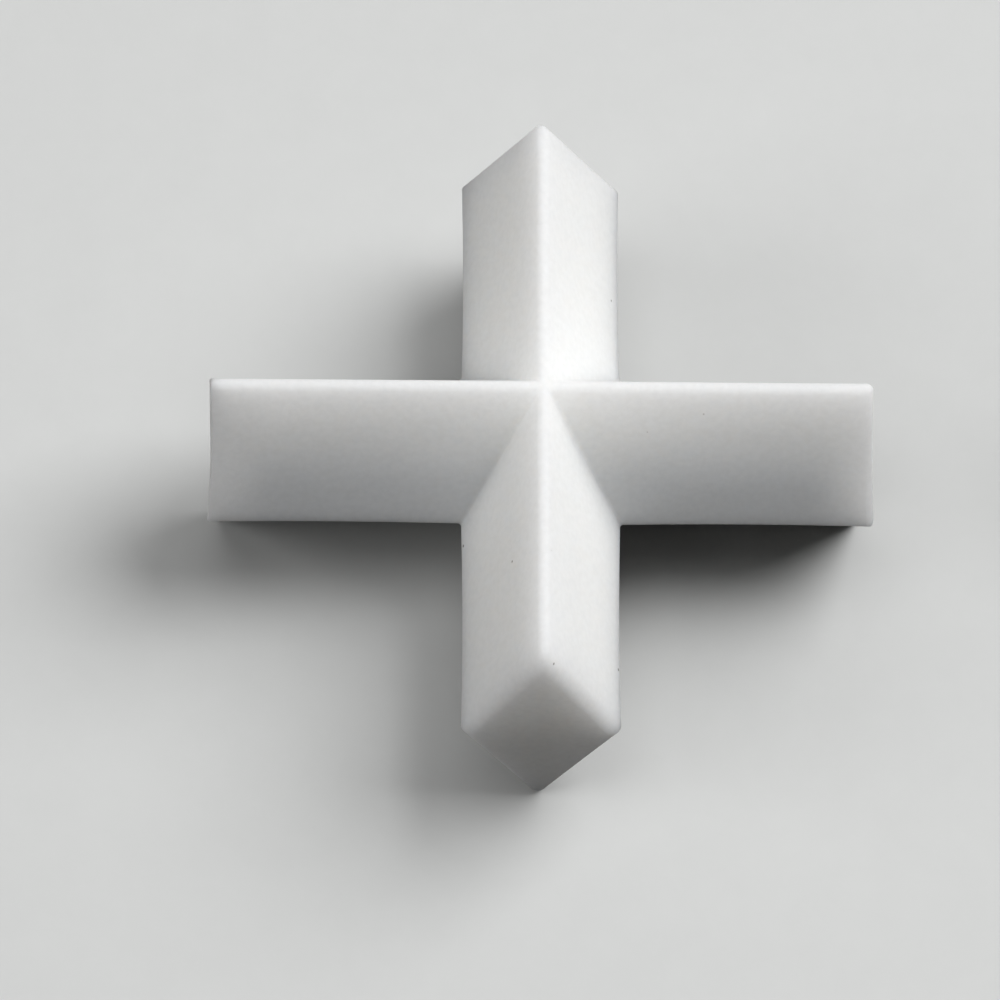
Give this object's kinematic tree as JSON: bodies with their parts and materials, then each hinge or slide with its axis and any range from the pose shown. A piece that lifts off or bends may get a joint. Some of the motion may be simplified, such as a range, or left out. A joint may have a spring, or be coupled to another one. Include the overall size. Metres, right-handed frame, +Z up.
{
  "type": "magnetic stir bar",
  "caption": "Cross-shaped magnetic stir bar: a seamless white PTFE jacket of crossing diamond-section bars, moulded round a rod magnet.",
  "frame": {"origin": "under the middle of the cross, on the plane that the lower ridges stand on", "axes": "+X along the longer bar, which holds the magnet; +Y along the bar that crosses it; +Z up"},
  "size_m": [0.019, 0.0176, 0.0086],
  "materials": {
    "ptfe": "as moulded: matt, waxy and slightly translucent white",
    "alnico": "dull grey cast magnet alloy with ground sides"
  },
  "bodies": {
    "root": {"ptfe_jacket": "ptfe", "bar_magnet": "alnico"}
  },
  "joints": []
}
